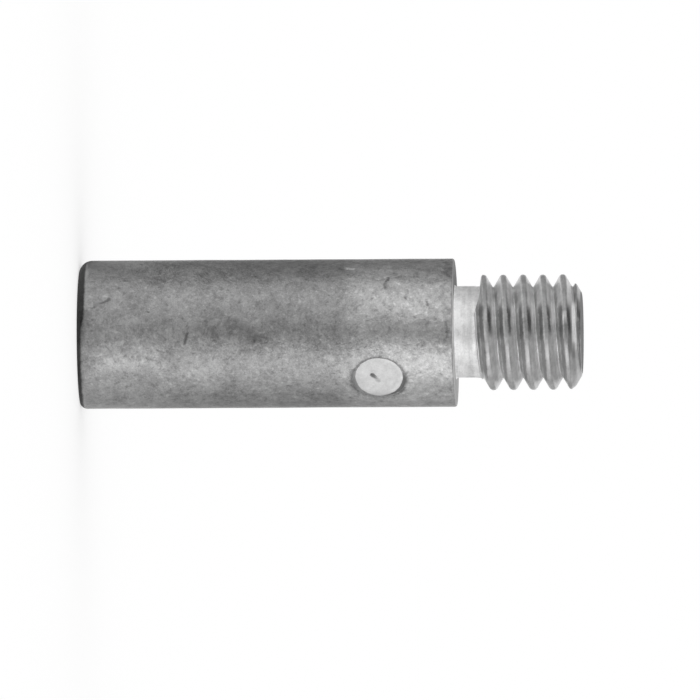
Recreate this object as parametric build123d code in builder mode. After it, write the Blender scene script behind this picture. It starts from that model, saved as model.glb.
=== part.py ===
from build123d import *
from math import radians, tan
import os

# Pencil anode for an engine's cooling circuit: one zinc casting with a threaded stub.
#
# The plain rod is the metal that is eaten away. The stub behind its shoulder is turned down to a
# relief neck and cut with a coarse inch thread, which screws into the plug that holds the anode.
# The rod stands on its free end: the origin is the middle of that end, +Z runs along the axis to
# the thread, and the round flat where the casting's gate was trimmed away faces -Y.

# ---- Driving dimensions, in millimetres and degrees ----
inch = 25.4

rod_diameter = 11.86
rod_length = 30.1
free_end_radius = 0.75
shoulder_edge_bevel = 0.14

neck_diameter = 7.32
neck_length = 2.02
neck_root_bevel = 0.14

threads_per_inch = 16
thread_form_angle = 60
thread_major_diameter = 9.13
thread_minor_diameter = 7.34
thread_crest_land = 0.27
thread_length = 8.06
thread_start_edge_radius = 0.12
thread_start_root_radius = 0.22
first_groove_height = 0.77
cutter_clearance = 0.1

end_face_diameter = 6.56
end_chamfer_length = 0.76

gate_flat_diameter = 3.75
gate_flat_depth = 0.36
gate_flat_to_shoulder = 5.98
gate_wall_angle = 45
pore_length = 0.9
pore_width = 0.36
pore_depth = 0.22
pore_wall_angle = 20
pore_offset = 0.36
pore_turn = -45

# ---- Sizes that follow from them ----
rod_radius = rod_diameter / 2
neck_radius = neck_diameter / 2
major_radius = thread_major_diameter / 2
minor_radius = thread_minor_diameter / 2
end_face_radius = end_face_diameter / 2
thread_start = rod_length + neck_length
overall_length = thread_start + thread_length

# The groove between the threads narrows from its mouth, just outside the crest, to its flat root
pitch = inch / threads_per_inch
flank_slope = tan(radians(thread_form_angle / 2))
mouth_radius = major_radius + cutter_clearance
mouth_half_width = (pitch - thread_crest_land) / 2 + cutter_clearance * flank_slope
root_half_width = mouth_half_width - (mouth_radius - minor_radius) * flank_slope

# It starts in the open over the neck and runs out past the end of the stub
groove_start = rod_length + first_groove_height
groove_length = neck_length + thread_length + pitch / 2

# ---- The thread's groove, as one solid along its helix ----
with BuildPart() as groove:
    with BuildLine():
        helix = Helix(pitch, groove_length, major_radius, center=(0, 0, groove_start))
    with BuildSketch(Plane.XZ):
        Polygon(
            (mouth_radius, groove_start - mouth_half_width),
            (mouth_radius, groove_start + mouth_half_width),
            (minor_radius, groove_start + root_half_width),
            (minor_radius, groove_start - root_half_width),
            align=None,
        )
    sweep(path=helix, is_frenet=True)

# ---- The anode ----
with BuildPart() as anode:
    # Turned blank: rod, neck and stub
    with BuildSketch(Plane.XZ):
        Polygon(
            (0, 0),
            (rod_radius, 0),
            (rod_radius, rod_length),
            (neck_radius, rod_length),
            (neck_radius, thread_start),
            (major_radius, thread_start),
            (major_radius, overall_length - end_chamfer_length),
            (end_face_radius, overall_length),
            (0, overall_length),
            align=None,
        )
    revolve(axis=Axis.Z)

    rims = anode.edges().filter_by(GeomType.CIRCLE).group_by(Axis.Z)
    free_end_rim = rims[0]
    neck_root, shoulder_edge = rims[1].sort_by(SortBy.RADIUS)
    start_root, start_edge = rims[2].sort_by(SortBy.RADIUS)
    fillet(free_end_rim, free_end_radius)
    chamfer(shoulder_edge, shoulder_edge_bevel)
    chamfer(neck_root, neck_root_bevel)
    fillet(start_root, thread_start_root_radius)
    fillet(start_edge, thread_start_edge_radius)

    # Thread
    add(groove.part, mode=Mode.SUBTRACT)

    # Flat left by the trimmed gate, inside a sloping wall, with a shrinkage pore off its middle
    gate_plane = Plane(
        origin=(0, gate_flat_depth - rod_radius, rod_length - gate_flat_to_shoulder),
        x_dir=(0, 0, 1),
        z_dir=(0, -1, 0),
    )
    with BuildSketch(gate_plane):
        Circle(gate_flat_diameter / 2)
    extrude(amount=2 * gate_flat_depth, taper=-gate_wall_angle, mode=Mode.SUBTRACT)
    with BuildSketch(gate_plane):
        with Locations((-pore_offset, 0)):
            SlotOverall(pore_length, pore_width, rotation=pore_turn)
    extrude(amount=-pore_depth, taper=pore_wall_angle, mode=Mode.SUBTRACT)

anode.part.label = "anode"

os.makedirs("parts", exist_ok=True)
export_step(anode.part, "parts/anode.step")
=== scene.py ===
import logging
import math
from dataclasses import dataclass, field
from enum import Enum

import bmesh
import bpy
from mathutils import Matrix, Vector, noise


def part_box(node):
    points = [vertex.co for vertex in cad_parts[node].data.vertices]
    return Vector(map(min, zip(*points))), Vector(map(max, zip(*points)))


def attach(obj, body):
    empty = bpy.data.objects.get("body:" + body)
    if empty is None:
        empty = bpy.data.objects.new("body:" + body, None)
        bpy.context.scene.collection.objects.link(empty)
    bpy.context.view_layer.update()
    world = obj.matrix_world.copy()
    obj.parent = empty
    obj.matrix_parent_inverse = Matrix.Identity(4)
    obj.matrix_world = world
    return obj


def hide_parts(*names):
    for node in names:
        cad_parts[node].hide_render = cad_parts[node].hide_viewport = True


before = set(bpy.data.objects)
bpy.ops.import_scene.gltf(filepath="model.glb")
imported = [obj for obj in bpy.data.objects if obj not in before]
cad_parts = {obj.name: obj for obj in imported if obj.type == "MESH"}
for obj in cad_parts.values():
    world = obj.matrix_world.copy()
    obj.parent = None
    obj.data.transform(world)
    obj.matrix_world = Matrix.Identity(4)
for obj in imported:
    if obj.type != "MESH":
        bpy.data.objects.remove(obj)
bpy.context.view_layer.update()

# The looks of a pencil anode: one zinc casting, standing on its free end with the threaded stub up.
# The shape is worked out in millimetres and scaled to metres at the end. Heights are measured from
# the free end, and angles round the rod from +X towards +Y, so the gate's flat is at -90 degrees.

MM = 0.001
FULL_TURN = 2 * math.pi
TINY = 1e-4
SAFE_DIVISOR = 1e-6
WHITE = (1.0, 1.0, 1.0, 1.0)
BLACK = (0.0, 0.0, 0.0, 1.0)
LOG = logging.getLogger("anode")


class Zone(Enum):
    """The casting's finishes, in the order of its material slots."""

    CAST_SKIN = 0
    SHOULDER = 1
    NECK = 2
    THREAD = 3
    END_CUT = 4
    GATE_CUT = 5


def smooth_step(value: float, low: float, high: float) -> float:
    """Gives a soft ramp from 0 at low to 1 at high, where low may be the larger."""
    part = min(max((value - low) / (high - low), 0.0), 1.0)
    return part * part * (3.0 - 2.0 * part)


def soft_min(first: float, second: float, reach: float) -> float:
    """Gives the smaller of two numbers, rounded off where they are nearer than the reach."""
    near = max(reach - abs(first - second), 0.0) / reach
    return min(first, second) - near * near * reach / 4


def rod_point(radius: float, angle: float, height: float) -> Vector:
    """Gives a point from its distance from the axis, its angle in degrees and its height."""
    turn = math.radians(angle)
    return Vector((radius * math.cos(turn), radius * math.sin(turn), height))


def round_axis(place: Vector) -> tuple[float, float]:
    """Returns a place's distance from the rod's axis and its angle round it, in radians."""
    return math.hypot(place.x, place.y), math.atan2(place.y, place.x)


def spin_closed(
    mesh: bmesh.types.BMesh, steps: int, centre: tuple = (0, 0, 0), axis: tuple = (0, 0, 1)
) -> None:
    """Spins all of an outline through a full turn and closes the shell.

    Args:
        mesh: The outline's mesh.
        steps: How many steps the turn has.
        centre: A point on the axis.
        axis: The axis.
    """
    bmesh.ops.spin(
        mesh,
        geom=mesh.verts[:] + mesh.edges[:],
        cent=centre,
        axis=axis,
        dvec=(0, 0, 0),
        angle=FULL_TURN,
        steps=steps,
        use_merge=True,
    )


def add_object(name: str, mesh: bmesh.types.BMesh) -> bpy.types.Object:
    """Turns a shape into an object at the origin, with its place in its mesh.

    Args:
        name: The object's name.
        mesh: The shape, in metres. It is freed.

    Returns:
        The object.
    """
    data = bpy.data.meshes.new(name)
    mesh.to_mesh(data)
    mesh.free()
    made = bpy.data.objects.new(name, data)
    bpy.context.scene.collection.objects.link(made)
    return made


# -------- Shape --------


@dataclass
class Thread:
    """The external thread: a right-hand helix with 60 degree flanks and round crests and roots."""

    pitch: float = 25.4 / 16
    major_radius: float = 9.24 / 2
    form_angle: float = 60.0
    crest_round: float = 0.32
    root_round: float = 0.08
    first_root_height: float = 30.87
    chatter: float = 0.03
    chatter_length: float = 2.4

    @property
    def steepness(self) -> float:
        """Returns how far a flank rises for each millimetre along the axis."""
        return 1.0 / math.tan(math.radians(self.form_angle / 2))

    @property
    def minor_radius(self) -> float:
        """Returns the radius at the roots, which leaves straight flanks between the rounds."""
        sharp_height = self.pitch / 2 * self.steepness
        return self.major_radius + self.crest_round + self.root_round - sharp_height

    def surface_radius(self, turn: float, height: float) -> float:
        """Gives the thread's own surface, as if it ran on for ever.

        Args:
            turn: Angle round the axis, in radians.
            height: Height above the free end, in millimetres.

        Returns:
            The distance of the surface from the axis, in millimetres.
        """
        root = self.first_root_height + self.pitch * turn / FULL_TURN
        from_root = abs((height - root + self.pitch / 2) % self.pitch - self.pitch / 2)
        from_crest = self.pitch / 2 - from_root
        reach = math.cos(math.radians(self.form_angle / 2))
        crest, root = self.crest_round, self.root_round
        if from_crest < crest * reach:
            return self.major_radius - crest + math.sqrt(crest**2 - from_crest**2)
        if from_root < root * reach:
            return self.minor_radius + root - math.sqrt(root**2 - from_root**2)
        return self.major_radius + crest - from_crest * self.steepness


@dataclass
class Blank:
    """The turned blank: rod, shoulder, relief neck and stub, before the thread and the gate."""

    rod_radius: float
    overall_length: float
    rod_length: float = 30.1
    neck_radius: float = 7.32 / 2
    neck_length: float = 2.02
    stub_radius: float = 9.24 / 2
    end_face_radius: float = 6.56 / 2
    end_chamfer_length: float = 0.76
    free_end_round: float = 0.75
    shoulder_round: float = 0.16
    neck_root_round: float = 0.14
    start_root_round: float = 0.22
    start_edge_round: float = 0.12
    end_edge_round: float = 0.14
    ridge_rounding: float = 0.5
    cut_below_start: float = 0.45
    cut_inside_neck: float = 0.4
    guard_above_start: float = 0.3
    rod_row: float = 0.2
    face_row: float = 0.4
    neck_row: float = 0.12
    thread_row: float = 0.045
    columns: int = 224
    weld: float = 0.003

    @property
    def thread_start(self) -> float:
        """Returns the height of the wall where the stub begins."""
        return self.rod_length + self.neck_length

    @property
    def chamfer_start(self) -> float:
        """Returns the height where the stub's end begins to taper."""
        return self.overall_length - self.end_chamfer_length

    def outline(self, mesh: bmesh.types.BMesh) -> None:
        """Draws half of the blank's section: its corners, rounded, with rows along its sides.

        Args:
            mesh: The empty mesh that takes the outline.
        """
        end = self.overall_length
        corners = (
            (0.0, 0.0, 0.0, 0),
            (self.rod_radius, 0.0, self.free_end_round, 14),
            (self.rod_radius, self.rod_length, self.shoulder_round, 4),
            (self.neck_radius, self.rod_length, self.neck_root_round, 4),
            (self.neck_radius, self.thread_start, self.start_root_round, 5),
            (self.stub_radius, self.thread_start, self.start_edge_round, 4),
            (self.stub_radius, self.chamfer_start, 0.0, 0),
            (self.end_face_radius, end, self.end_edge_round, 4),
            (0.0, end, 0.0, 0),
        )
        points = [mesh.verts.new((radius, 0.0, height)) for radius, height, _, _ in corners]
        for ends in zip(points, points[1:]):
            mesh.edges.new(ends)
        for point, (_, _, rounding, segments) in zip(points, corners):
            if rounding:
                bmesh.ops.bevel(
                    mesh,
                    geom=[point],
                    offset=rounding,
                    segments=segments,
                    profile=0.5,
                    affect="VERTICES",
                    material=-1,
                )
        for edge in list(mesh.edges):
            cuts = math.ceil(edge.calc_length() / self.row_at(edge)) - 1
            if cuts > 0:
                bmesh.ops.subdivide_edges(mesh, edges=[edge], cuts=cuts)

    def row_at(self, edge: bmesh.types.BMEdge) -> float:
        """Gives the row height for one side of the outline.

        Args:
            edge: The side.

        Returns:
            The height of its rows, in millimetres.
        """
        low, high = sorted(point.co.z for point in edge.verts)
        if high - low < TINY:
            return self.face_row
        if low > self.thread_start:
            return self.thread_row
        return self.neck_row if low > self.rod_length else self.rod_row

    def build(self, mesh: bmesh.types.BMesh) -> None:
        """Spins the outline into a closed shell.

        Args:
            mesh: The empty mesh that takes the shell.
        """
        self.outline(mesh)
        spin_closed(mesh, self.columns)
        bmesh.ops.remove_doubles(mesh, verts=mesh.verts, dist=self.weld)

    def cut_thread(self, mesh: bmesh.types.BMesh, thread: Thread) -> None:
        """Presses the thread into the stub. The wall at its start follows it down to the neck.

        Args:
            mesh: The spun blank.
            thread: The thread's form.
        """
        start, neck = self.thread_start, self.neck_radius
        full_depth = self.stub_radius - neck
        slope = (self.stub_radius - self.end_face_radius) / self.end_chamfer_length
        for point in mesh.verts:
            radius, turn = round_axis(point.co)
            if point.co.z < start - self.cut_below_start or radius < neck - self.cut_inside_neck:
                continue
            shake = noise.noise(point.co / thread.chatter_length)
            limit = thread.surface_radius(turn, point.co.z)
            limit *= 1.0 + thread.chatter / self.stub_radius * shake
            if point.co.z < start + self.guard_above_start:
                limit = max(limit, neck)
            past = self.chamfer_start - point.co.z
            taper = radius
            if past > 0:
                share = min(limit - neck, full_depth) / full_depth
                limit = neck + (radius - neck) * share
                taper = self.stub_radius + past * slope
            point.co.xy *= soft_min(taper, limit, self.ridge_rounding) / radius


@dataclass
class RunOut:
    """How the real part strays from the true one, towards one side of the rod or away from it."""

    side: float = 141.3
    widest_round: float = 0.225
    round_bow: float = 0.075
    round_reach: float = 3.0
    end_sag: float = 0.06
    shoulder_drop: float = 0.05
    shoulder_lean: float = 0.08
    shoulder_reach: float = 3.0
    shoulder_blend: float = 0.2
    neck_shift: float = 0.06
    neck_margin: float = 0.3
    neck_below: float = 0.05
    neck_above: float = 0.2
    neck_fade: float = 0.1
    wall_gap: float = 0.1
    follow_below: tuple[float, float] = (-0.46, -0.32)
    follow_above: tuple[float, float] = (0.45, 0.2)
    blend_below: float = 0.4
    blend_above: float = 0.8
    end_shift: float = -0.18
    end_reach: float = 0.35

    def wall_height(self, turn: float, blank: Blank, thread: Thread) -> float:
        """Gives the height of the stub's first wall, which the first groove eats into.

        Args:
            turn: Angle round the axis, in radians from -pi to pi.
            blank: The blank's sizes.
            thread: The thread's form.

        Returns:
            The height, in millimetres.
        """
        wall = blank.thread_start
        groove = thread.first_root_height + thread.pitch * (1.0 + turn / FULL_TURN)
        follows = 1.0
        for low, high in (self.follow_below, self.follow_above):
            follows *= smooth_step(groove, wall + low, wall + high)
        return wall + follows * (groove - self.wall_gap - wall)

    def bend(self, mesh: bmesh.types.BMesh, blank: Blank, thread: Thread) -> None:
        """Moves the blank's points from the true form to the real one.

        Args:
            mesh: The spun blank.
            blank: Its sizes.
            thread: The form of the thread that will be cut in it.
        """
        towards = rod_point(1.0, self.side, 0.0)
        foot, wall, last = blank.rod_length, blank.thread_start, blank.chamfer_start
        low_wall = wall - self.blend_below
        for point in mesh.verts:
            height = point.co.z
            radius, turn = round_axis(point.co)
            lean = point.co.dot(towards) / max(radius, SAFE_DIVISOR)
            if height < self.round_reach:
                self.ease_free_end(point, radius, lean, blank)
                point.co.z -= self.end_sag * smooth_step(height, self.round_reach, 0.0)
            near_foot = smooth_step(height, foot - self.shoulder_reach, foot)
            near_foot *= smooth_step(height, low_wall, foot + self.shoulder_blend)
            drop = self.shoulder_drop + self.shoulder_lean * lean * radius / blank.rod_radius
            near_wall = smooth_step(height, low_wall, wall)
            near_wall *= smooth_step(height, wall + self.blend_above, wall)
            sink = wall - self.wall_height(turn, blank, thread)
            point.co.z -= drop * near_foot + sink * near_wall
            in_neck = foot - self.neck_below < height < wall + self.neck_above
            if in_neck and radius < blank.neck_radius + self.neck_margin:
                fade = smooth_step(height, wall + self.neck_above, wall - self.neck_fade)
                point.co += towards * self.neck_shift * fade
            at_end = smooth_step(height, last, last + self.end_reach)
            point.co += towards * self.end_shift * at_end

    def ease_free_end(
        self, point: bmesh.types.BMVert, radius: float, lean: float, blank: Blank
    ) -> None:
        """Gives the free end's rounded edge a radius that changes round the rod.

        Args:
            point: A point of the rod's lowest part.
            radius: Its distance from the axis.
            lean: How much it lies on the chosen side, from -1 to 1.
            blank: The blank's sizes.
        """
        true_round = blank.free_end_round
        real_round = true_round + self.widest_round * lean + self.round_bow * lean * lean
        true_face = blank.rod_radius - true_round
        real_face = blank.rod_radius - real_round
        if point.co.z >= true_round - TINY:
            share = (point.co.z - true_round) / (self.round_reach - true_round)
            point.co.z = real_round + (self.round_reach - real_round) * share
            return
        if radius <= true_face + TINY:
            new_radius = radius * real_face / true_face
        else:
            new_radius = real_face + (radius - true_face) * real_round / true_round
            point.co.z *= real_round / true_round
        if radius > SAFE_DIVISOR:
            point.co.xy *= new_radius / radius


@dataclass
class GateMark:
    """The flat where the gate was trimmed off, in its sloping wall, with a small pore."""

    rod_radius: float
    height: float = 24.09
    flat_radius: float = 3.76 / 2
    depth: float = 0.36
    wall_slope: float = 0.72
    skirt: float = 0.25
    pore_length: float = 0.9
    pore_width: float = 0.42
    pore_depth: float = 0.22
    pore_offset: float = -0.36
    pore_turn: float = -45.0
    pore_taper: float = 0.5
    pore_edge: float = 0.04
    rim_wobble: float = 0.045
    wobble_length: float = 0.35
    columns: int = 144
    flat_rows: int = 44
    wall_rows: int = 6
    skirt_rows: int = 2
    weld: float = 0.0005
    opening_margin: float = 0.1

    @property
    def flat_distance(self) -> float:
        """Returns how far the flat lies from the rod's axis."""
        return self.rod_radius - self.depth

    @property
    def middle(self) -> tuple[float, float, float]:
        """Returns the middle of the flat."""
        return 0, -self.flat_distance, self.height

    def way_to(self, place: Vector) -> tuple[float, tuple[float, float]]:
        """Gives a place's distance from the mark's middle and the way to it.

        Args:
            place: The place, in millimetres.

        Returns:
            The distance, and the way's shares across the rod and along it, from -1 to 1.
        """
        across, along = place.x, place.z - self.height
        reach = max(math.hypot(across, along), SAFE_DIVISOR)
        return reach, (across / reach, along / reach)

    def edge(self, way: tuple[float, float]) -> float:
        """Gives the flat's radius one way, which wanders a little where it was sheared."""
        spot = Vector((*way, 0.5)) * self.flat_radius / self.wobble_length
        return self.flat_radius + self.rim_wobble * noise.noise(spot)

    def wall_rise(self, way: tuple[float, float]) -> float:
        """Gives the height of the sloping wall one way from the middle.

        Args:
            way: The way's shares across the rod and along it.

        Returns:
            The wall's height, in millimetres.
        """
        rise = 0.0
        edge = self.edge(way)
        for _ in range(30):
            across = (edge + rise * self.wall_slope) * way[0]
            rise = math.sqrt(self.rod_radius**2 - across**2) - self.flat_distance
        return rise

    def build(self, mesh: bmesh.types.BMesh) -> None:
        """Spins the mark's section into a patch and lays it on the rod.

        Args:
            mesh: The empty mesh that takes the patch.
        """
        reaches = [0.0, self.flat_radius, self.flat_radius + self.depth]
        reaches.append(reaches[-1] + self.skirt)
        points = [mesh.verts.new((0, -self.flat_distance, self.height + x)) for x in reaches]
        sides = [mesh.edges.new(ends) for ends in zip(points, points[1:])]
        for side, count in zip(sides, (self.flat_rows, self.wall_rows, self.skirt_rows)):
            bmesh.ops.subdivide_edges(mesh, edges=[side], cuts=count - 1)
        spin_closed(mesh, self.columns, self.middle, (0, 1, 0))
        bmesh.ops.remove_doubles(mesh, verts=mesh.verts, dist=self.weld)
        for point in mesh.verts:
            self.lay(point)

    def lay(self, point: bmesh.types.BMVert) -> None:
        """Moves one point of the flat patch to the flat, the wall or the rod's surface.

        Args:
            point: The point to move.
        """
        reach, way = self.way_to(point.co)
        edge = self.edge(way)
        beyond = reach - self.flat_radius
        if beyond <= TINY:
            new_reach = reach + (edge - self.flat_radius) * (reach / self.flat_radius) ** 4
            point.co.y += self.pore_dip(point.co.x, point.co.z - self.height)
        else:
            climb = self.wall_rise(way) * min(beyond / self.depth, 1.0)
            new_reach = edge + climb * self.wall_slope + max(beyond - self.depth, 0.0)
            point.co.y = -self.flat_distance - climb
        if beyond > self.depth + TINY:
            point.co.y = -math.sqrt(self.rod_radius**2 - (way[0] * new_reach) ** 2)
        point.co.x = way[0] * new_reach
        point.co.z = self.height + way[1] * new_reach

    def pore_dip(self, across: float, along: float) -> float:
        """Gives the depth of the shrinkage pore at a point of the flat.

        Args:
            across: The point's place across the rod, from the flat's middle.
            along: The point's place along the rod, from the flat's middle.

        Returns:
            The depth, in millimetres, or 0 outside the pore.
        """
        turn = math.radians(self.pore_turn)
        along -= self.pore_offset
        lengthways = along * math.cos(turn) - across * math.sin(turn)
        sideways = along * math.sin(turn) + across * math.cos(turn)
        half_run = (self.pore_length - self.pore_width) / 2
        from_middle = math.hypot(max(abs(lengthways) - half_run, 0.0), sideways)
        tail = smooth_step(lengthways, -half_run, half_run + self.pore_width / 2)
        half_width = self.pore_width / 2 * (1.0 - self.pore_taper * tail)
        return self.pore_depth * (1.0 - tail) * smooth_step(from_middle, half_width, self.pore_edge)

    def covers(self, place: Vector, margin: float) -> bool:
        """Tells whether a point of the rod's surface lies under the patch.

        Args:
            place: The point, in millimetres.
            margin: How far past the patch still counts, in millimetres.

        Returns:
            True if it does.
        """
        reach, way = self.way_to(place)
        if place.y > 0 or reach > 2 * self.flat_radius:
            return False
        wall = self.wall_rise(way) * self.wall_slope
        return reach < self.edge(way) + wall + self.skirt + margin

    def join(self, mesh: bmesh.types.BMesh) -> None:
        """Opens the rod where the mark lies, adds the patch and closes the gap between them.

        Args:
            mesh: The rod's mesh.
        """
        margin = self.opening_margin
        under = [face for face in mesh.faces if self.covers(face.calc_center_median(), margin)]
        bmesh.ops.delete(mesh, geom=under, context="FACES")
        opening = [edge for edge in mesh.edges if edge.is_boundary]
        patch = bmesh.new()
        self.build(patch)
        sheet = bpy.data.meshes.new("gate_patch")
        patch.to_mesh(sheet)
        patch.free()
        old = set(mesh.edges)
        mesh.from_mesh(sheet)
        bpy.data.meshes.remove(sheet)
        rim = [edge for edge in mesh.edges if edge.is_boundary and edge not in old]
        bmesh.ops.bridge_loops(mesh, edges=opening + rim)


@dataclass
class CastSurface:
    """The cast rod's small unevenness: long waves and fine ripples."""

    waviness: float = 0.012
    wave_length: float = 3.6
    ripple: float = 0.0035
    ripple_length: float = 1.1
    fade_height: float = 0.3

    def roughen(self, mesh: bmesh.types.BMesh, rod_length: float) -> None:
        """Moves the rod's points in and out by a few hundredths of a millimetre.

        Args:
            mesh: The anode's mesh.
            rod_length: The height of the shoulder, where the casting was turned true.
        """
        apart = Vector((7, 3, 1))
        for point in mesh.verts:
            if point.co.z > rod_length:
                continue
            shift = self.waviness * noise.noise(point.co / self.wave_length)
            shift += self.ripple * noise.noise(point.co / self.ripple_length + apart)
            shift *= smooth_step(point.co.z, rod_length, rod_length - self.fade_height)
            shift *= smooth_step(point.co.z, 0.0, self.fade_height)
            point.co.xy += point.co.xy.normalized() * shift


# -------- Finishes --------


class Signal:
    """One output of a shader node, so that shader maths reads as an expression."""

    def __init__(self, sheet: "ShaderSheet", socket: bpy.types.NodeSocket) -> None:
        """Keeps the socket and the sheet that it is on."""
        self.sheet = sheet
        self.socket = socket

    def __add__(self, other: "Signal | float") -> "Signal":
        """Returns the sum."""
        return self.sheet.maths("ADD", self, other)

    def __sub__(self, other: "Signal | float") -> "Signal":
        """Returns the difference."""
        return self.sheet.maths("SUBTRACT", self, other)

    def __mul__(self, other: "Signal | float") -> "Signal":
        """Returns the product."""
        return self.sheet.maths("MULTIPLY", self, other)

    def __rsub__(self, other: float) -> "Signal":
        """Returns a number less this signal."""
        return self.sheet.maths("SUBTRACT", other, self)

    __radd__ = __add__
    __rmul__ = __mul__


class ShaderSheet:
    """The node tree of one material, with the few nodes that every finish here is made of."""

    def __init__(self, name: str, constants: dict[str, object]) -> None:
        """Makes the material and a place for patterns in millimetres on the object.

        Args:
            name: The material's name.
            constants: What is the same all over it, by the shader's own input.
        """
        self.material = bpy.data.materials.new(name)
        self.material.use_nodes = True
        self.tree = self.material.node_tree
        self.shader = self.tree.nodes["Principled BSDF"]
        for key, value in constants.items():
            self.plug(self.shader, key, value)
        self.place = self.stretch(self.read("TexCoord", "Object", {}), (1 / MM, 1 / MM, 1 / MM))

    def node(self, kind: str, sockets: dict, **settings: object) -> bpy.types.Node:
        """Adds a node.

        Args:
            kind: Its Blender type, without the prefix.
            sockets: Values or signals for its inputs, by identifier or name.
            **settings: Its own properties, set first.

        Returns:
            The node.
        """
        made = self.tree.nodes.new("ShaderNode" + kind)
        for key, value in settings.items():
            setattr(made, key, value)
        for key, value in sockets.items():
            self.plug(made, key, value)
        return made

    def read(self, kind: str, output: str, sockets: dict, **settings: object) -> Signal:
        """Adds a node and returns one of its outputs."""
        return Signal(self, self.node(kind, sockets, **settings).outputs[output])

    def plug(self, node: bpy.types.Node, key: str, value: object) -> None:
        """Sets or links one input of a node.

        Args:
            node: The node.
            key: The input's identifier or name.
            value: A plain value or a signal.
        """
        target = next(each for each in node.inputs if key in (each.identifier, each.name))
        if isinstance(value, Signal):
            self.tree.links.new(value.socket, target)
        else:
            target.default_value = value

    def maths(self, operation: str, first: object, second: object = 0.0) -> Signal:
        """Adds a Math node and returns its result."""
        sockets = {"Value": first, "Value_001": second}
        return self.read("Math", "Value", sockets, operation=operation)

    def vector(self, operation: str, first: object, second: object, output: str) -> Signal:
        """Adds a Vector Math node and returns its output of the given name."""
        sockets = {"Vector": first, "Vector_001": second}
        return self.read("VectorMath", output, sockets, operation=operation)

    def scaled(self, vector: object, factor: object) -> Signal:
        """Returns a vector times a number."""
        sockets = {"Vector": vector, "Scale": factor}
        return self.read("VectorMath", "Vector", sockets, operation="SCALE")

    def stretch(self, place: Signal, scale: tuple[float, float, float]) -> Signal:
        """Returns a place scaled about the origin."""
        return self.read("Mapping", "Vector", {"Vector": place, "Scale": scale})

    def distance(self, place: Signal, other: object) -> Signal:
        """Returns how far one place is from another."""
        return self.vector("DISTANCE", place, other, "Value")

    def mix_shaders(self, share: Signal, first: Signal, second: Signal) -> Signal:
        """Returns a mix of two shaders, where the share is how much of the second one shows."""
        sockets = {"Fac": share, "Shader": first, "Shader_001": second}
        return self.read("MixShader", "Shader", sockets)

    def across(self) -> Signal:
        """Returns the place without its height."""
        return self.stretch(self.place, (1, 1, 0))

    def radius(self) -> Signal:
        """Returns the distance from the rod's axis, in millimetres."""
        return self.vector("LENGTH", self.across(), (0, 0, 0), "Value")

    def axis_parts(self) -> tuple[Signal, Signal, Signal]:
        """Returns the place's three parts, in millimetres."""
        made = self.node("SeparateXYZ", {"Vector": self.place})
        return tuple(Signal(self, each) for each in made.outputs)

    def facing(self, side: float) -> Signal:
        """Returns the cosine of the angle round the axis from a side given in degrees."""
        outward = self.vector("NORMALIZE", self.across(), (0, 0, 0), "Vector")
        return self.vector("DOT_PRODUCT", outward, rod_point(1.0, side, 0.0), "Value")

    def step(self, signal: Signal, low: float, high: float) -> Signal:
        """Gives a soft ramp from 0 at low to 1 at high, where low may be the larger.

        Args:
            signal: What the ramp follows.
            low: Its value where the ramp is 0.
            high: Its value where the ramp is 1.

        Returns:
            The ramp.
        """
        sockets = {"Value": signal, "From Min": min(low, high), "From Max": max(low, high)}
        ramp = self.read("MapRange", "Result", sockets, interpolation_type="SMOOTHSTEP")
        return 1.0 - ramp if low > high else ramp

    def grain(self, length: float, detail: float, rough: float, drawn: float = 1.0) -> Signal:
        """Gives a noise pattern about 0.

        Args:
            length: The size of its largest patches, in millimetres.
            detail: How many finer layers it has.
            rough: How strong each finer layer is beside the one before.
            drawn: How many times longer the patches are round the axis than along it.

        Returns:
            The noise, from about -1 to 1.
        """
        place = self.stretch(self.place, (1 / drawn, 1 / drawn, 1.0))
        sockets = {"Vector": place, "Scale": 1 / length, "Detail": detail, "Roughness": rough}
        return (self.read("TexNoise", "Fac", sockets) - 0.5) * 4.0

    def shaken_place(self, length: float, reach: float) -> Signal:
        """Gives the place moved about by noise, so that what is drawn there has ragged edges.

        Args:
            length: The size of the noise's patches, in millimetres.
            reach: How far it moves a point, in millimetres.

        Returns:
            The moved place.
        """
        sockets = {"Vector": self.place, "Scale": 1 / length, "Detail": 3.0}
        colour = self.read("TexNoise", "Color", sockets)
        centred = self.vector("SUBTRACT", colour, (0.5, 0.5, 0.5), "Vector")
        return self.vector("ADD", self.place, self.scaled(centred, 4 * reach), "Vector")

    def line_distance(self, place: Signal, start: Vector, end: Vector) -> Signal:
        """Gives the distance from a straight line between two points.

        Args:
            place: The place to measure from.
            start: One end of the line, in millimetres.
            end: The other end.

        Returns:
            The distance, in millimetres.
        """
        run = end - start
        rest = self.vector("SUBTRACT", place, start, "Vector")
        share = self.vector("DOT_PRODUCT", rest, run / run.length_squared, "Value")
        share = self.maths("MINIMUM", self.maths("MAXIMUM", share, 0.0), 1.0)
        return self.distance(rest, self.scaled(run, share))

    def dress(self, tone: Signal, roughness: Signal, bump: Signal, bump_height: float) -> None:
        """Feeds the shader with what changes over the surface.

        Args:
            tone: The grey of the metal, from 0 to 1.
            roughness: Its roughness.
            bump: The small relief, from about -1 to 1.
            bump_height: The relief's height, in millimetres.
        """
        sockets = {"Factor_Float": tone, "A_Color": BLACK, "B_Color": WHITE}
        grey = self.node("Mix", sockets, data_type="RGBA")
        mixed = next(each for each in grey.outputs if each.enabled)
        self.plug(self.shader, "Base Color", Signal(self, mixed))
        self.plug(self.shader, "Roughness", roughness)
        relief = {"Height": bump, "Distance": bump_height * MM, "Strength": 1.0}
        self.plug(self.shader, "Normal", self.read("Bump", "Normal", relief))


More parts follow.
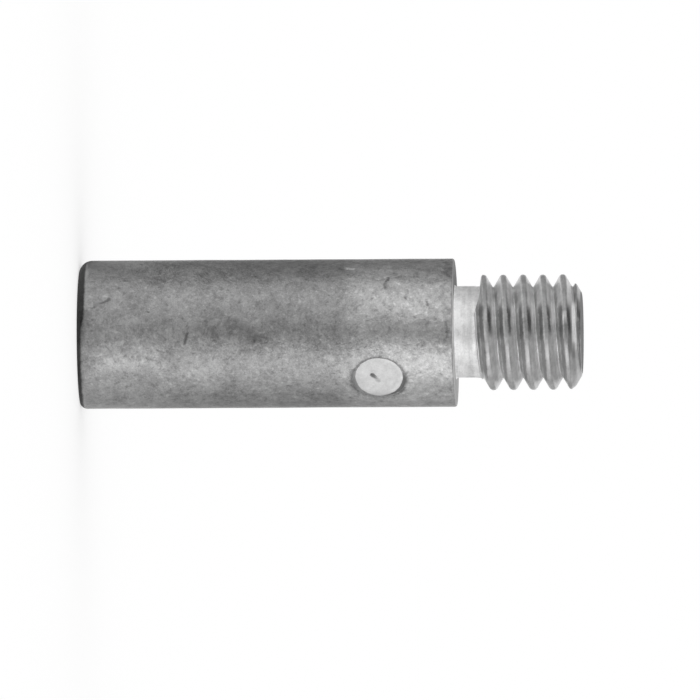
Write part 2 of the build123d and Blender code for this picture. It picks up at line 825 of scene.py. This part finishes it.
@dataclass(frozen=True)
class Sector:
    """A part of the surface about one side of the rod, with soft edges."""

    side: float
    inner: float
    outer: float

    def cover(self, sheet: ShaderSheet) -> Signal:
        """Returns a mask, 1 in the sector and 0 away from it."""
        low, high = (math.cos(math.radians(angle)) for angle in (self.outer, self.inner))
        return sheet.step(sheet.facing(self.side), low, high)


@dataclass(frozen=True)
class Band:
    """A lighter or darker band, across the rod or along the thread. One kept to a sector is painted
    light: a painted highlight where it lightens, painted shade where it darkens.
    """

    place: float
    half_width: float
    softness: float
    gain: float
    sector: Sector | None = None

    def shade(self, sheet: ShaderSheet, along: Signal, shake: Signal | None = None) -> Signal:
        """Tells how much the band lightens or darkens the metal.

        Args:
            sheet: The finish that shows it.
            along: What its place is counted on, such as the height above the free end.
            shake: A noise about 0 that makes its edges uneven, if they are.

        Returns:
            A factor for the tone, 1 away from the band.
        """
        aside = sheet.maths("ABSOLUTE", along - self.place)
        if shake:
            aside = aside + shake
        cover = sheet.step(aside, self.half_width + self.softness, self.half_width)
        if self.sector:
            cover = cover * self.sector.cover(sheet)
        return 1.0 + self.gain * cover


@dataclass(frozen=True)
class Mark:
    """One scratch, nick or stain on the rod, as a line between two places on its surface."""

    height: float
    angle: float
    to_height: float
    to_angle: float
    half_width: float

    def ends(self, radius: float) -> tuple[Vector, Vector]:
        """Returns the line's two ends, on a rod of the given radius."""
        start = rod_point(radius, self.angle, self.height)
        return start, rod_point(radius, self.to_angle, self.to_height)


@dataclass(frozen=True)
class MarkSet:
    """Marks of one kind, which share their strength and the softness of their edges."""

    gain: float
    softness: float
    raggedness: float
    marks: tuple[Mark, ...]

    def shade(self, sheet: ShaderSheet, radius: float) -> Signal:
        """Tells how much the marks lighten or darken the metal.

        Args:
            sheet: The finish that shows them.
            radius: The rod's radius, in millimetres.

        Returns:
            A factor for the tone, 1 away from the marks.
        """
        place = sheet.shaken_place(length=0.6, reach=self.raggedness)
        nearest = None
        for mark in self.marks:
            outside = sheet.line_distance(place, *mark.ends(radius)) - mark.half_width
            nearest = sheet.maths("MINIMUM", nearest, outside) if nearest else outside
        return 1.0 + self.gain * sheet.step(nearest, self.softness, -self.softness)


SCRATCHES = MarkSet(-0.58, 0.1, 0.14, (
    Mark(1.09, -149.1, 1.97, -153.6, 0.05), Mark(1.97, -153.6, 2.68, -157.2, 0.09),
    Mark(8.79, -129.8, 8.67, -121.1, 0.13), Mark(24.8, -177.3, 24.65, -167.2, 0.11),
    Mark(26.31, -156.9, 26.34, -157.9, 0.12), Mark(28.0, -152.4, 28.02, -151.4, 0.1),
    Mark(23.19, -138.2, 23.75, -138.9, 0.02), Mark(5.6, -146.6, 5.66, -145.9, 0.06),
))
DARK_LINES = MarkSet(-0.35, 0.05, 0.05, (
    Mark(29.83, -181.1, 29.92, -118.0, 0.03), Mark(25.6, -73.6, 26.2, -81.2, 0.08),
))
# Painted shade: patches that widen the dark of the free end's rounded edge on the front side.
FREE_END_SHADE_PATCHES = MarkSet(-0.55, 0.3, 0.26, (
    Mark(0.34, -147.0, 0.38, -136.0, 0.18), Mark(0.38, -136.0, 0.34, -124.0, 0.22),
))
SHOULDER_SMUDGES = MarkSet(-0.5, 0.25, 0.3, (
    Mark(29.62, -148.0, 29.55, -144.0, 0.1), Mark(29.58, -137.0, 29.6, -124.0, 0.14),
    Mark(29.5, -200.0, 29.6, -178.0, 0.16), Mark(29.72, -86.0, 29.75, -78.0, 0.06),
))
DARK_PATCHES = MarkSet(-0.32, 0.4, 0.5, (
    Mark(5.99, -174.9, 6.79, -173.7, 0.24), Mark(12.4, -134.0, 14.3, -127.0, 0.5),
    Mark(10.8, -128.2, 11.4, -127.0, 0.25), Mark(17.8, -145.2, 18.5, -144.6, 0.04),
    Mark(16.0, -137.3, 16.6, -136.9, 0.04), Mark(29.4, -170.0, 29.5, -112.0, 0.1),
    Mark(0.7, -145.5, 0.9, -133.0, 0.16), Mark(2.2, -137.0, 1.3, -134.0, 0.1),
    Mark(3.4, -124.8, 3.5, -122.5, 0.1), Mark(5.1, -157.0, 5.2, -154.0, 0.12),
    Mark(3.5, -142.5, 3.5, -140.0, 0.1), Mark(25.55, -120.0, 25.65, -104.0, 0.05),
))
BRIGHT_PATCH = MarkSet(0.4, 0.8, 0.6, (Mark(2.2, -104.5, 6.2, -106.0, 0.6),))
PALE_PATCHES = MarkSet(0.22, 0.8, 0.6, (
    Mark(7.9, -155.5, 11.6, -155.5, 0.6), Mark(19.8, -103.0, 20.6, -101.0, 0.3),
    Mark(25.8, -187.0, 28.2, -186.0, 0.4), Mark(1.9, -118.0, 6.4, -119.0, 0.3),
    Mark(24.8, -149.0, 29.2, -140.0, 0.9), Mark(25.4, -67.0, 29.4, -67.0, 0.6),
    Mark(25.0, -194.0, 29.0, -194.0, 0.6),
))
BRIGHT_SCRATCH = MarkSet(0.7, 0.1, 0.06, (Mark(21.5, -189.0, 22.0, -188.8, 0.16),))
BRIGHT_NICKS = MarkSet(0.4, 0.1, 0.12, (
    Mark(2.15, -160.2, 2.45, -160.0, 0.09), Mark(27.96, -144.2, 27.98, -143.2, 0.13),
    Mark(25.33, -151.8, 25.4, -151.2, 0.08), Mark(23.75, -157.4, 23.85, -156.6, 0.1),
    Mark(26.6, -148.0, 26.65, -147.2, 0.08), Mark(26.83, -158.9, 26.9, -158.3, 0.06),
))


@dataclass(frozen=True)
class CastSkin:
    """The rod's grey cast skin: mottled, scuffed, with painted shade at the free end, paler near
    the stub.
    """

    gate: GateMark
    tone: float = 0.28
    metallic: float = 0.85
    roughness: float = 0.42
    mottle: float = 0.64
    mottle_roughness: float = 0.04
    relief: float = 0.015
    pale_gain: float = 0.4
    pale_height: float = 21.7
    pale_reach: float = 0.9
    pale_wander: float = 0.5
    # Painted shade: the free end's rounded edge is darkened almost to black, higher up on one side.
    end_shade_gain: float = -0.8
    end_shade_roughness: float = 0.25
    end_shade_side: float = 141.3
    end_shade_turn: tuple[float, float] = (0.02, 0.3)
    end_shade_heights: tuple[float, float] = (0.33, 0.61)
    end_shade_wander: float = 0.06
    end_shade_edge: tuple[float, float] = (0.1, -0.12)
    end_shade_rim: tuple[float, float] = (4.2, 5.0)
    speck_size: float = 0.36
    pit_gain: float = -0.22
    pit_levels: tuple[float, float] = (-0.45, -0.85)
    scuff_gain: float = 0.22
    scuff_levels: tuple[float, float] = (0.5, 0.9)
    # Painted shade round the gate's recess: a soft darkening on its side of the rod and a thin dark
    # outline on one side.
    recess_shade_gain: float = -0.3
    recess_shade_wander: float = 0.3
    recess_shade_reach: tuple[float, float] = (0.55, 0.0)
    recess_shade_side: tuple[float, float] = (0.0, -1.0)
    outline_shade_gain: float = -0.35
    outline_shade_wander: float = 0.1
    outline_shade_reach: tuple[float, float] = (0.24, 0.08)
    outline_shade_side: tuple[float, float] = (1.6, 1.0)
    mark_sets: tuple[MarkSet, ...] = (
        SCRATCHES,
        DARK_LINES,
        FREE_END_SHADE_PATCHES,
        SHOULDER_SMUDGES,
        DARK_PATCHES,
        BRIGHT_PATCH,
        PALE_PATCHES,
        BRIGHT_SCRATCH,
        BRIGHT_NICKS,
    )

    def painted_end_shade(self, sheet: ShaderSheet) -> Signal:
        """Tells where the free end's rounded edge gets painted shade, higher up on one side of the
        rod.

        Args:
            sheet: The finish.

        Returns:
            A mask, 1 where the shade is painted.
        """
        low, high = self.end_shade_heights
        rise = sheet.step(sheet.facing(self.end_shade_side), *self.end_shade_turn)
        wander = self.end_shade_wander * sheet.grain(length=0.9, detail=4.0, rough=0.8)
        above = sheet.axis_parts()[2] - (low + (high - low) * rise + wander)
        return sheet.step(sheet.radius(), *self.end_shade_rim) * sheet.step(above, *self.end_shade_edge)

    def specks(self, sheet: ShaderSheet) -> Signal:
        """Tells how small pits darken the skin and small scuffs lighten it.

        Args:
            sheet: The finish.

        Returns:
            A factor for the tone, 1 between the specks.
        """
        spread = sheet.grain(self.speck_size, detail=1.0, rough=0.5)
        pits = sheet.step(spread, *self.pit_levels)
        scuffs = sheet.step(spread, *self.scuff_levels)
        return (1.0 + self.pit_gain * pits) * (1.0 + self.scuff_gain * scuffs)

    def gate_rim_shade(self, sheet: ShaderSheet, mottle: Signal) -> Signal:
        """Tells how painted shade darkens the skin round the gate's wall, and in a thin outline
        beside it.

        Args:
            sheet: The finish.
            mottle: A noise about 0 that makes the edges uneven.

        Returns:
            A factor for the tone, 1 away from the gate.
        """
        gate = self.gate
        across, outward, _ = sheet.axis_parts()
        rise = gate.depth - across * across * (0.5 / gate.rod_radius)
        beyond = sheet.distance(sheet.place, gate.middle) - gate.flat_radius
        beyond = beyond - gate.wall_slope * rise
        # Painted shade: a soft darkening round the recess and a thin dark line beside it.
        recess_shade = self.recess_shade_gain * sheet.step(beyond + self.recess_shade_wander * mottle, *self.recess_shade_reach)
        recess_shade = recess_shade * sheet.step(outward, *self.recess_shade_side)
        outline = sheet.step(beyond + self.outline_shade_wander * mottle, *self.outline_shade_reach)
        outline = outline * sheet.step(across, *self.outline_shade_side)
        return (1.0 + recess_shade) * (1.0 + self.outline_shade_gain * outline)

    def material(self) -> bpy.types.Material:
        """Returns the finish as a material."""
        sheet = ShaderSheet("cast_skin", {"Metallic": self.metallic})
        height = sheet.axis_parts()[2]
        mottle = sheet.grain(length=2.4, detail=6.0, rough=1.0)
        wander = self.pale_wander * sheet.grain(length=1.6, detail=2.0, rough=0.5)
        beyond = height - self.pale_height + wander
        pale = sheet.step(beyond, -self.pale_reach, self.pale_reach)
        tone = self.tone * (1.0 + self.mottle * mottle) * (1.0 + self.pale_gain * pale)
        for marks in self.mark_sets:
            tone = tone * marks.shade(sheet, self.gate.rod_radius)
        # Painted shade on the free end's rounded edge, darkening it almost to black.
        end_shade = self.painted_end_shade(sheet)
        tone = tone * self.gate_rim_shade(sheet, mottle) * self.specks(sheet)
        tone = tone * (1.0 + self.end_shade_gain * end_shade)
        roughness = self.roughness + self.mottle_roughness * mottle + self.end_shade_roughness * end_shade
        sheet.dress(tone, roughness, sheet.grain(length=0.5, detail=3.0, rough=0.7), self.relief)
        return sheet.material


@dataclass(frozen=True)
class TurnedMetal:
    """Zinc cut bright on a lathe, with fine rings left by the tool."""

    name: str
    tone: float
    metallic: float = 0.2
    shine: float = 0.5
    roughness: float = 0.42
    mottle: float = 0.3
    mottle_size: float = 1.4
    mottle_roughness: float = 0.03
    rings: float = 0.16
    ring_size: float = 0.35
    ring_stretch: float = 14.0
    relief: float = 0.003
    bands: tuple[Band, ...] = ()

    def shades(self, sheet: ShaderSheet, mottle: Signal) -> list[Signal]:
        """Returns the factors for the tone that come on top of its mottling and its rings."""
        height = sheet.axis_parts()[2]
        return [band.shade(sheet, height) for band in self.bands]

    def material(self) -> bpy.types.Material:
        """Returns the finish as a material."""
        constants = {"Metallic": self.metallic, "Specular IOR Level": self.shine}
        sheet = ShaderSheet(self.name, constants)
        mottle = sheet.grain(self.mottle_size, detail=4.0, rough=0.9)
        rings = sheet.grain(self.ring_size, detail=3.0, rough=0.8, drawn=self.ring_stretch)
        tone = self.tone * (1.0 + self.mottle * mottle + self.rings * rings)
        for factor in self.shades(sheet, mottle):
            tone = tone * factor
        roughness = self.roughness + self.mottle_roughness * mottle
        sheet.dress(tone, roughness, rings, self.relief)
        return sheet.material


@dataclass(frozen=True, kw_only=True)
class CutThread(TurnedMetal):
    """The thread's cut zinc: dull crests, and painted light and shade along the flanks beside them.

    A flank band's place is counted in pitches from the nearest crest, and a band's in millimetres
    above the free end.
    """

    thread: Thread
    last_turn: float
    name: str = "cut_thread"
    tone: float = 0.57
    metallic: float = 0.5
    roughness: float = 0.36
    mottle_size: float = 1.2
    mottle_roughness: float = 0.06
    ring_size: float = 0.3
    relief: float = 0.004
    crest_gain: float = -0.3
    crest_wander: float = 0.02
    crest_depth: tuple[float, float] = (0.16, 0.04)
    dull_gain: float = -0.35
    dull_reach: tuple[float, float] = (-0.2, 0.3)
    flank_band_wander: float = 0.03
    # Painted light and shade along the flanks, each band kept to one sector: the darker ones are
    # painted shade and dark reflections, the lighter ones painted highlights.
    flank_light_and_shade: tuple[Band, ...] = (
        Band(-0.22, 0.06, 0.08, -0.48, Sector(-68.7, 85.0, 96.0)),
        Band(-0.25, 0.05, 0.08, -0.46, Sector(-140.0, 8.0, 24.0)),
        Band(0.19, 0.03, 0.08, -0.76, Sector(-141.5, 4.0, 20.0)),
        Band(-0.45, 0.05, 0.08, -0.42, Sector(-128.7, 50.0, 66.0)),
        Band(0.03, 0.07, 0.08, -0.32, Sector(-152.7, 8.0, 32.0)),
        Band(0.42, 0.04, 0.08, 0.36, Sector(-128.7, 60.0, 80.0)),
        Band(0.38, 0.02, 0.08, 0.35, Sector(-150.7, 6.0, 18.0)),
    )
    # Painted highlights and painted shade on the first and last turns, each kept to one sector.
    bands: tuple[Band, ...] = (
        Band(39.69, 0.15, 0.05, 0.8, Sector(-137.7, 24.0, 34.0)),
        Band(39.62, 0.08, 0.06, -0.4, Sector(-107.0, 5.0, 12.0)),
        Band(38.96, 0.12, 0.05, 0.55, Sector(-143.6, 4.0, 8.0)),
        Band(39.3, 0.1, 0.1, -0.3, Sector(-135.7, 20.0, 34.0)),
        Band(39.38, 0.1, 0.08, -0.3, Sector(-121.0, 12.0, 24.0)),
        Band(39.0, 0.1, 0.08, -0.3, Sector(-130.5, 6.0, 16.0)),
        Band(40.02, 0.14, 0.06, -0.5, Sector(-163.0, 8.0, 18.0)),
        Band(32.06, 0.1, 0.06, -0.3, Sector(-137.7, 20.0, 32.0)),
        Band(32.62, 0.07, 0.05, 0.45, Sector(-138.0, 8.0, 20.0)),
    )

    def shades(self, sheet: ShaderSheet, mottle: Signal) -> list[Signal]:
        """Gives the shades of the crests and the last turn, and the painted light and shade of the
        flank bands and the other bands.

        Args:
            sheet: The finish.
            mottle: A noise about 0, for uneven edges.

        Returns:
            Factors for the tone.
        """
        along, across, height = sheet.axis_parts()
        turns = sheet.maths("ARCTAN2", across, along) * (1 / FULL_TURN)
        pitches = (height - self.thread.first_root_height) * (1 / self.thread.pitch)
        from_crest = sheet.maths("FRACT", pitches - turns) - 0.5
        below_crest = self.thread.major_radius - sheet.radius()
        crest = sheet.step(below_crest + self.crest_wander * mottle, *self.crest_depth)
        dull_and_shade = sheet.step(height, *(self.last_turn + reach for reach in self.dull_reach))
        wander = self.flank_band_wander * mottle
        flank_light_and_shade = [flank_band.shade(sheet, from_crest, wander) for flank_band in self.flank_light_and_shade]
        turned = [1.0 + self.crest_gain * crest, 1.0 + self.dull_gain * dull_and_shade]
        return turned + flank_light_and_shade + super().shades(sheet, mottle)


@dataclass(frozen=True)
class GateCut:
    """The trimmed gate: a bright sheared flat with a painted highlight on part of its rim, and
    painted shade on the wall round it and in the pore.
    """

    gate: GateMark
    tone: float = 0.56
    metallic: float = 0.4
    roughness: float = 0.45
    mottle: float = 0.24
    mottle_roughness: float = 0.03
    relief: float = 0.006
    # Painted highlight: the flat's rim is lighter on the stub's side.
    rim_highlight_gain: float = 0.16
    rim_highlight_reach: tuple[float, float] = (-0.4, -0.1)
    rim_highlight_along: tuple[float, float] = (-0.5, 1.5)
    low_gain: float = -0.24
    low_side: tuple[float, float] = (1.15, 1.85)
    # Painted shade: the recess's wall, its lip by the rod's surface, its lower corner and the pore,
    # which darkens with its depth.
    wall_shade_gain: float = -0.4
    wall_shade_wander: float = 0.015
    wall_shade_levels: tuple[float, float] = (-0.01, -0.05)
    lip_shade_gain: float = -0.2
    lip_shade_levels: tuple[float, float] = (-0.1, -0.36)
    corner_shade_gain: float = -0.6
    corner_shade_skew: float = 0.6
    corner_shade_reach: tuple[float, float] = (1.3, 2.1)
    pore_shade_gain: float = -0.62
    pore_shade_levels: tuple[float, float] = (0.01, 0.2)
    smear_gain: float = -0.36
    smear_start: tuple[float, float] = (-0.18, -0.6)
    smear_end: tuple[float, float] = (0.42, -0.02)
    smear_reach: tuple[float, float] = (0.24, 0.02)

    def smear(self, sheet: ShaderSheet) -> Signal:
        """Tells where the dirt from the pore is smeared over the flat.

        Args:
            sheet: The finish.

        Returns:
            A mask, 1 in the smear.
        """
        middle = Vector(self.gate.middle)
        ends = [middle + Vector((x, 0, z)) for x, z in (self.smear_start, self.smear_end)]
        aside = sheet.line_distance(sheet.shaken_place(length=0.3, reach=0.06), *ends)
        return sheet.step(aside, *self.smear_reach)

    def material(self) -> bpy.types.Material:
        """Returns the finish as a material."""
        sheet = ShaderSheet("gate_cut", {"Metallic": self.metallic})
        across, outward, height = sheet.axis_parts()
        level = outward + self.gate.flat_distance
        along = height - self.gate.height
        mottle = sheet.grain(length=1.4, detail=5.0, rough=0.9)
        reach = sheet.distance(sheet.place, self.gate.middle)
        rim = sheet.step(reach, *(self.gate.flat_radius + part for part in self.rim_highlight_reach))
        wall = sheet.step(level + self.wall_shade_wander * mottle, *self.wall_shade_levels)
        corner = sheet.step(along + self.corner_shade_skew * across, *self.corner_shade_reach)
        # The rim's lightening is a painted highlight; the darkening of the wall, its lip, its
        # corner and the pore is painted shade.
        shades = (
            (self.mottle, mottle),
            (self.rim_highlight_gain, rim * sheet.step(along, *self.rim_highlight_along)),
            (self.wall_shade_gain, wall),
            (self.pore_shade_gain, sheet.step(level, *self.pore_shade_levels)),
            (self.corner_shade_gain, wall * corner),
            (self.lip_shade_gain, sheet.step(level, *self.lip_shade_levels)),
            (self.low_gain, sheet.step(across, *self.low_side)),
            (self.smear_gain, self.smear(sheet)),
        )
        tone = self.tone
        for gain, mask in shades:
            tone = tone * (1.0 + gain * mask)
        sheet.dress(tone, self.roughness + self.mottle_roughness * mottle, mottle, self.relief)
        return sheet.material


# -------- Anode --------


@dataclass
class Anode:
    """The whole anode, one casting: its shape, its zones and its finishes."""

    low: Vector
    high: Vector
    thread: Thread = field(default_factory=Thread)
    run_out: RunOut = field(default_factory=RunOut)
    surface: CastSurface = field(default_factory=CastSurface)
    sharp_angle: float = 32.0
    thread_drop: float = 0.45
    thread_rise: float = 0.12
    ring_drop: float = 0.26
    ring_lift: float = 0.1
    ring_inset: float = 0.16
    turned_depth: float = 0.035
    gate_depth: float = 0.003

    def __post_init__(self) -> None:
        """Takes the rod's size from the frame."""
        across = (self.high.x - self.low.x + self.high.y - self.low.y) / 4 / MM
        self.blank = Blank(rod_radius=across, overall_length=(self.high.z - self.low.z) / MM)
        self.gate = GateMark(rod_radius=across)

    def build(self) -> bpy.types.Object:
        """Makes the casting as one object.

        Returns:
            The object, at the origin, with its place in its mesh.
        """
        mesh = bmesh.new()
        self.blank.build(mesh)
        self.run_out.bend(mesh, self.blank, self.thread)
        self.blank.cut_thread(mesh, self.thread)
        self.gate.join(mesh)
        bmesh.ops.recalc_face_normals(mesh, faces=mesh.faces)
        self.surface.roughen(mesh, self.blank.rod_length)
        for face in mesh.faces:
            face.material_index = self.zone_at(face.calc_center_median()).value
        self.smooth(mesh)
        bmesh.ops.scale(mesh, vec=(MM, MM, MM), verts=mesh.verts)
        return add_object("anode_casting", mesh)

    def zone_at(self, place: Vector) -> Zone:
        """Tells which finish a place has.

        Args:
            place: A point of the surface, in millimetres.

        Returns:
            Its zone.
        """
        blank, gate = self.blank, self.gate
        radius, turn = round_axis(place)
        skin_depth = gate.rod_radius - radius
        above_neck = radius - blank.neck_radius
        above_wall = place.z - self.run_out.wall_height(turn, blank, self.thread)
        above_foot = place.z - blank.rod_length
        if place.z > blank.chamfer_start:
            return Zone.THREAD if radius > blank.end_face_radius else Zone.END_CUT
        if above_wall > 0 or (above_wall > -self.thread_drop and above_neck > self.thread_rise):
            return Zone.THREAD
        if above_foot > -self.ring_drop and skin_depth > self.turned_depth:
            on_ring = above_neck > self.ring_inset and above_foot < self.ring_lift
            return Zone.SHOULDER if on_ring else Zone.NECK
        if skin_depth > self.gate_depth and gate.covers(place, -gate.skirt):
            return Zone.GATE_CUT
        return Zone.CAST_SKIN

    def smooth(self, mesh: bmesh.types.BMesh) -> None:
        """Shades the faces smooth and keeps the hard edges.

        Args:
            mesh: The anode's mesh.
        """
        for face in mesh.faces:
            face.smooth = True
        limit = math.radians(self.sharp_angle)
        for edge in mesh.edges:
            edge.smooth = edge.calc_face_angle(math.pi) < limit

    def shoulder_finish(self) -> TurnedMetal:
        """Returns the finish of the shoulder's ring, with painted shade on the side that the
        run-out leans to.
        """
        away = Sector(self.run_out.side, 30.0, 62.0)
        # Painted shade: the ring is darker on that side.
        dull_and_shade = Band(self.blank.rod_length, 0.5, 0.1, -0.46, away)
        return TurnedMetal("turned_shoulder", 0.51, metallic=0.0, shine=0.0, bands=(dull_and_shade,))

    def neck_finish(self) -> TurnedMetal:
        """Returns the finish of the neck, lighter near its foot and in a thin ring below the wall.
        """
        foot, wall = self.blank.rod_length, self.blank.thread_start
        bands = (
            Band(foot + 0.15, 0.2, 0.5, 0.18),
            Band(foot + 1.25, 0.1, 0.2, -0.06),
            Band(wall - 0.45, 0.06, 0.08, 0.08),
        )
        return TurnedMetal("turned_neck", 0.74, bands=bands)

    def dress(self, piece: bpy.types.Object) -> None:
        """Gives the casting its finishes.

        Args:
            piece: The object.
        """
        finishes: dict[Zone, CastSkin | TurnedMetal | GateCut] = {
            Zone.CAST_SKIN: CastSkin(self.gate),
            Zone.SHOULDER: self.shoulder_finish(),
            Zone.NECK: self.neck_finish(),
            Zone.THREAD: CutThread(thread=self.thread, last_turn=self.blank.chamfer_start),
            Zone.END_CUT: TurnedMetal("turned_end", tone=0.2, metallic=0.0, shine=0.0),
            Zone.GATE_CUT: GateCut(self.gate),
        }
        for zone in Zone:
            piece.data.materials.append(finishes[zone].material())


# -------- Studio --------


def flat_ring(inner: float, outer: float, height: float, steps: int = 96) -> bmesh.types.BMesh:
    """Makes a level ring that faces up.

    Args:
        inner: Its inner radius, in metres.
        outer: Its outer radius, in metres.
        height: Its height, in metres.
        steps: How many sides its circles have.

    Returns:
        The ring's mesh.
    """
    mesh = bmesh.new()
    mesh.edges.new([mesh.verts.new((radius, 0.0, height)) for radius in (inner, outer)])
    spin_closed(mesh, steps)
    for face in mesh.faces:
        face.normal_update()
        if face.normal.z < 0:
            face.normal_flip()
    return mesh


@dataclass(frozen=True)
class Reflector:
    """A part of the light tent that shows only as a reflection in the metal."""

    name: str
    level: float

    def hang(self, mesh: bmesh.types.BMesh) -> bpy.types.Object:
        """Makes the object and lights it.

        Args:
            mesh: Its shape, in metres. It is freed.

        Returns:
            The object.
        """
        constants = {
            "Base Color": BLACK,
            "Specular IOR Level": 0.0,
            "Emission Color": WHITE,
            "Emission Strength": self.level,
        }
        made = add_object(self.name, mesh)
        made.data.materials.append(ShaderSheet(self.name, constants).material)
        made.visible_camera = False
        made.visible_diffuse = False
        made.visible_transmission = False
        made.visible_shadow = False
        return made


@dataclass(frozen=True)
class Panel(Reflector):
    """An upright curved panel, which may have an equally bright foot on the floor."""

    start: float
    end: float
    has_foot: bool = False
    foot_reach: tuple[float, float] = (0.0062, 0.02)
    foot_lift: float = 0.0002
    step_angle: float = 5.0

    def build(self, radius: float, height: float, front: float) -> bpy.types.Object:
        """Makes the panel.

        Args:
            radius: Its distance from the anode's axis, in metres.
            height: Its height, in metres.
            front: The angle round the axis that its own angles count from, in degrees.

        Returns:
            The panel's object.
        """
        mesh = bmesh.new()
        corners = [(radius, 0.0), (radius, height)]
        if self.has_foot:
            corners += [(reach, self.foot_lift) for reach in self.foot_reach]
        ends = [mesh.verts.new(rod_point(away, front - self.start, up)) for away, up in corners]
        sides = [mesh.edges.new(pair) for pair in zip(ends[::2], ends[1::2])]
        bmesh.ops.spin(
            mesh,
            geom=[*ends, *sides],
            cent=(0, 0, 0),
            axis=(0, 0, 1),
            dvec=(0, 0, 0),
            angle=math.radians(self.start - self.end),
            steps=max(2, round((self.end - self.start) / self.step_angle)),
        )
        return self.hang(mesh)


@dataclass(frozen=True)
class Ring(Reflector):
    """A flat ring or disc that lies level."""

    inner: float
    outer: float
    height: float

    def build(self) -> bpy.types.Object:
        """Returns the ring's object."""
        return self.hang(flat_ring(self.inner, self.outer, self.height))


@dataclass
class Studio:
    """A white floor in a white tent with soft boxes and dark flags, and the camera."""

    centre: Vector
    floor_radius: float = 0.6
    floor_hole: float = 0.0047
    floor_glow: float = 0.55
    panel_radius: float = 0.07
    panel_height: float = 0.1
    panels: tuple[Panel, ...] = (
        Panel("front_flag", 0.23, -22.5, 22.5),
        Panel("upper_soft_box", 1.21, 22.5, 82.5),
        Panel("upper_flag", 0.2, 82.5, 157.5, has_foot=True),
        Panel("back_soft_box", 1.2, 157.5, 202.5),
        Panel("lower_flag", 0.47, -157.5, -97.5),
        Panel("side_fill", 0.88, -97.5, -67.5),
        Panel("lower_soft_box", 1.93, -67.5, -22.5),
    )
    overhead_flag: Ring = Ring("overhead_flag", 0.25, 0.001, 0.07, 0.1)
    camera_distance: float = 2.0
    camera_azimuth: float = -38.7
    camera_elevation: float = 2.7
    camera_roll: float = 0.33
    picture_width: float = 0.056
    picture_pixels: int = 700
    centre_pixel: tuple[float, float] = (331.3, 333.4)
    sensor: float = 36.0

    @property
    def front(self) -> float:
        """Returns the camera's side of the anode, in degrees from +X towards +Y."""
        return self.camera_azimuth - 90.0

    def floor(self) -> bpy.types.Object:
        """Makes a round white floor, open under the free end and clear from below.

        Returns:
            The floor.
        """
        made = add_object("floor", flat_ring(self.floor_hole, self.floor_radius, 0.0))
        constants = {"Base Color": WHITE, "Roughness": 1.0, "Specular IOR Level": 0.0}
        sheet = ShaderSheet("white_floor", constants)
        rays = sheet.node("LightPath", {})
        camera, glossy, through = (
            Signal(sheet, rays.outputs[f"Is {kind} Ray"])
            for kind in ("Camera", "Glossy", "Transmission")
        )
        white = {"Color": WHITE, "Strength": 1.0}
        glow = sheet.read("Emission", "Emission", white)
        clear = sheet.read("BsdfTransparent", "BSDF", {})
        below = sheet.read("NewGeometry", "Backfacing", {})
        plain = Signal(sheet, sheet.shader.outputs["BSDF"])
        seen = camera + glossy + through
        lit = sheet.mix_shaders(self.floor_glow * seen, plain, glow)
        surface = sheet.mix_shaders(below, lit, clear)
        sheet.plug(sheet.tree.nodes["Material Output"], "Surface", surface)
        made.data.materials.append(sheet.material)
        return made

    def world(self) -> None:
        """Makes an even white surround."""
        surround = bpy.data.worlds.new("white_tent")
        surround.use_nodes = True
        light = surround.node_tree.nodes["Background"]
        light.inputs["Color"].default_value = WHITE
        light.inputs["Strength"].default_value = 1.0
        bpy.context.scene.world = surround

    def camera(self) -> None:
        """Sets up the camera, turned so that the anode lies along the picture."""
        lift = math.radians(self.camera_elevation)
        back = rod_point(math.cos(lift), self.front, math.sin(lift))
        along = (Vector((0, 0, 1)) - back * back.z).normalized()
        up = back.cross(along)
        roll = math.radians(self.camera_roll)
        right = along * math.cos(roll) - up * math.sin(roll)
        top = along * math.sin(roll) + up * math.cos(roll)
        pixel = self.picture_width / self.picture_pixels
        middle = self.picture_pixels / 2
        aim = self.centre + right * (middle - self.centre_pixel[0]) * pixel
        aim += top * (self.centre_pixel[1] - middle) * pixel
        data = bpy.data.cameras.new("camera")
        data.sensor_width = self.sensor
        data.lens = self.sensor * self.camera_distance / self.picture_width
        data.clip_start = 0.1
        data.clip_end = 10.0
        camera = bpy.data.objects.new("camera", data)
        place = Matrix((right, top, back)).transposed().to_4x4()
        place.translation = aim + back * self.camera_distance
        camera.matrix_world = place
        bpy.context.scene.collection.objects.link(camera)
        bpy.context.scene.camera = camera

    def build(self) -> None:
        """Builds the studio round the anode."""
        self.floor()
        for panel in self.panels:
            panel.build(self.panel_radius, self.panel_height, self.front)
        self.overhead_flag.build()
        self.world()
        self.camera()
        bpy.context.scene.view_settings.view_transform = "Standard"


def main() -> None:
    """Builds the anode and its studio, in order."""
    logging.basicConfig(level=logging.INFO, format="%(name)s: %(message)s")
    low, high = (Vector(corner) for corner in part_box("anode"))
    anode = Anode(low, high)
    piece = anode.build()
    anode.dress(piece)
    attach(piece, "root")
    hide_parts("anode")
    triangles = sum(len(face.vertices) - 2 for face in piece.data.polygons)
    LOG.info("%s: %d triangles", piece.name, triangles)
    Studio(centre=(low + high) / 2).build()


if __name__ == "__main__":
    main()
